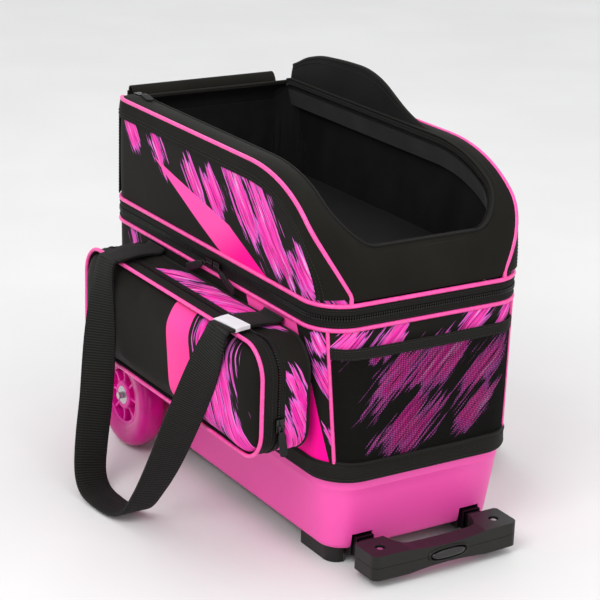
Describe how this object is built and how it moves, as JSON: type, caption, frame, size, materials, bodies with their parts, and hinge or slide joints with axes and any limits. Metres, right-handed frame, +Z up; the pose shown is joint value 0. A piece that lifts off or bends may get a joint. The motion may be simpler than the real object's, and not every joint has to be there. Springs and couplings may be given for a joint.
{
  "type": "bowling ball bag",
  "caption": "Wheeled bowling ball bag with moulded tray, soft ball compartment, hinged shoe compartment, side pocket, pull handle and carry straps.",
  "frame": {"origin": "floor point under the middle of the whole object", "axes": "+X towards the pull handle, +Y towards the side without the accessory pocket, +Z up"},
  "size_m": [0.5913, 0.528, 0.459],
  "materials": {
    "tray_plastic": "satin moulded pink",
    "black_fabric": "black woven polyester",
    "printed_fabric": "black woven polyester with pink and lilac brush-stroke print",
    "lining": "black lining",
    "piping": "pink piping",
    "webbing": "black ribbed webbing",
    "zipper_tape": "black zipper tape and coil",
    "mesh": "black open mesh",
    "foam": "charcoal foam",
    "black_plastic": "textured black moulding",
    "tube_metal": "black anodised tube",
    "steel": "plated steel",
    "urethane": "translucent magenta urethane"
  },
  "bodies": {
    "root": {"base_tray": "tray_plastic", "foot_near": "black_plastic", "foot_far": "black_plastic", "body_panel_front": "printed_fabric", "body_panel_far": "printed_fabric", "body_panel_rear": "black_fabric", "body_panel_near": "printed_fabric", "base_binding": "webbing", "lower_piping": "piping", "main_zipper_lower_tape": "zipper_tape", "clamshell_hinge_strip": "webbing", "ball_cup_rear": "foam", "ball_cup_front": "foam", "ball_divider": "lining", "mesh_pocket": "mesh", "pocket_front_cover": "printed_fabric", "pocket_zipper": "zipper_tape", "pocket_rear_gusset": "printed_fabric", "handle_sleeve_near": "black_plastic", "handle_sleeve_far": "black_plastic", "wheel_axle_near": "steel", "wheel_axle_far": "steel"},
    "top_compartment": {"upper_piping": "piping", "main_zipper_upper_tape": "zipper_tape", "top_panel_near": "printed_fabric", "top_panel_far": "printed_fabric", "edge_piping_near": "piping", "edge_piping_far": "piping", "top_gusset": "black_fabric", "top_rear_panel": "black_fabric", "shoe_floor_panel": "lining", "lid_hinge_strip": "webbing"},
    "lid_rear": {"lid_rear_panel": "black_fabric"},
    "lid_front": {"lid_front_panel": "black_fabric"},
    "slider_left": {"main_slider_left": "steel"},
    "pull_left": {"main_pull_left": "black_plastic"},
    "slider_right": {"main_slider_right": "steel"},
    "pull_right": {"main_pull_right": "black_plastic"},
    "pocket_slider_body": {"pocket_slider": "steel"},
    "pocket_pull_body": {"pocket_pull": "black_plastic"},
    "lid_slider_body": {"lid_slider": "steel"},
    "lid_pull_body": {"lid_pull": "black_plastic"},
    "strap_near_yoke": {"strap_near_rear_top": "webbing", "strap_near_front_top": "webbing"},
    "strap_near_hand_loop": {"strap_near_loop": "webbing"},
    "strap_far": {"strap_far_loop": "webbing"},
    "handle_middle": {"handle_middle_tube_near": "tube_metal", "handle_middle_tube_far": "tube_metal"},
    "handle_inner": {"handle_inner_tube_near": "tube_metal", "handle_inner_tube_far": "tube_metal", "grip_lower": "black_plastic", "grip_upper": "black_plastic"},
    "button": {"release_button": "black_plastic", "button_spring": "steel"},
    "wheel_near": {"wheel_tyre_near": "urethane", "wheel_hub_near": "urethane", "wheel_bearing_near": "steel"},
    "wheel_far": {"wheel_tyre_far": "urethane", "wheel_hub_far": "urethane", "wheel_bearing_far": "steel"}
  },
  "joints": [
    {"name": "wheel_near_spin", "type": "hinge", "parent": "root", "child": "wheel_near", "pos_m": [-0.1714, -0.139, 0.0635], "axis": [0, 1, 0], "continuous": true},
    {"name": "wheel_far_spin", "type": "hinge", "parent": "root", "child": "wheel_far", "pos_m": [-0.1714, 0.139, 0.0635], "axis": [0, 1, 0], "continuous": true},
    {"name": "handle_middle_slide", "type": "slide", "parent": "root", "child": "handle_middle", "axis": [1, 0, 0], "range_m": [0, 0.28]},
    {"name": "handle_inner_slide", "type": "slide", "parent": "handle_middle", "child": "handle_inner", "axis": [1, 0, 0], "range_m": [0, 0.28]},
    {"name": "button_press", "type": "slide", "parent": "handle_inner", "child": "button", "axis": [-1, 0, 0], "range_m": [0, 0.005], "stiffness_N_per_m": 400},
    {"name": "top_hinge", "type": "hinge", "parent": "root", "child": "top_compartment", "pos_m": [-0.0064, 0.1325, 0.282], "axis": [-1, 0, 0], "range_deg": [0, 95]},
    {"name": "lid_hinge", "type": "hinge", "parent": "top_compartment", "child": "lid_rear", "pos_m": [-0.2639, 0, 0.417], "axis": [0, 1, 0], "range_deg": [0, 270]},
    {"name": "lid_fold", "type": "hinge", "parent": "lid_rear", "child": "lid_front", "pos_m": [-0.2656, 0, 0.0753], "axis": [0, -1, 0], "range_deg": [0, 151.2]},
    {"name": "main_slider_left_slide", "type": "slide", "parent": "root", "child": "slider_left", "axis": [-1, 0, 0], "range_m": [0, 0.16]},
    {"name": "main_pull_left_swing", "type": "hinge", "parent": "slider_left", "child": "pull_left", "pos_m": [0.0026, -0.1381, 0.28], "axis": [-0.3818, 0, 0.9243], "range_deg": [0, 90]},
    {"name": "main_slider_right_slide", "type": "slide", "parent": "root", "child": "slider_right", "axis": [1, 0, 0], "range_m": [0, 0.15]},
    {"name": "main_pull_right_swing", "type": "hinge", "parent": "slider_right", "child": "pull_right", "pos_m": [0.0326, -0.1381, 0.28], "axis": [-0.3818, 0, -0.9243], "range_deg": [0, 90]},
    {"name": "pocket_slider_slide", "type": "slide", "parent": "root", "child": "pocket_slider_body", "axis": [0, 0, 1], "range_m": [0, 0.042]},
    {"name": "pocket_pull_swing", "type": "hinge", "parent": "pocket_slider_body", "child": "pocket_pull_body", "pos_m": [0.2216, -0.169, 0.172], "axis": [0, -0.9889, -0.1483], "range_deg": [0, 150]},
    {"name": "lid_slider_slide", "type": "slide", "parent": "top_compartment", "child": "lid_slider_body", "axis": [1, 0, 0], "range_m": [0, 0.28]},
    {"name": "lid_pull_swing", "type": "hinge", "parent": "lid_slider_body", "child": "lid_pull_body", "pos_m": [-0.2124, -0.103, 0.4198], "axis": [-0.1961, -0.9806, 0], "range_deg": [0, 170]},
    {"name": "strap_near_lift", "type": "hinge", "parent": "root", "child": "strap_near_yoke", "pos_m": [-0.0064, -0.142, 0.2595], "axis": [-1, 0, 0], "range_deg": [0, 90]},
    {"name": "strap_near_unfold", "type": "hinge", "parent": "strap_near_yoke", "child": "strap_near_hand_loop", "pos_m": [-0.0064, -0.2017, 0.2584], "axis": [-1, 0, 0], "range_deg": [0, 75]},
    {"name": "strap_far_lift", "type": "hinge", "parent": "root", "child": "strap_far", "pos_m": [-0.0064, 0.138, 0.254], "axis": [-1, 0, 0], "range_deg": [-150, 0]}
  ],
  "couplings": [
    {"joint": "handle_inner_slide", "follows": "handle_middle_slide", "ratio": 1},
    {"joint": "lid_fold", "follows": "lid_hinge", "ratio": 0.56},
    {"joint": "strap_near_unfold", "follows": "strap_near_lift", "ratio": 0.8333}
  ]
}
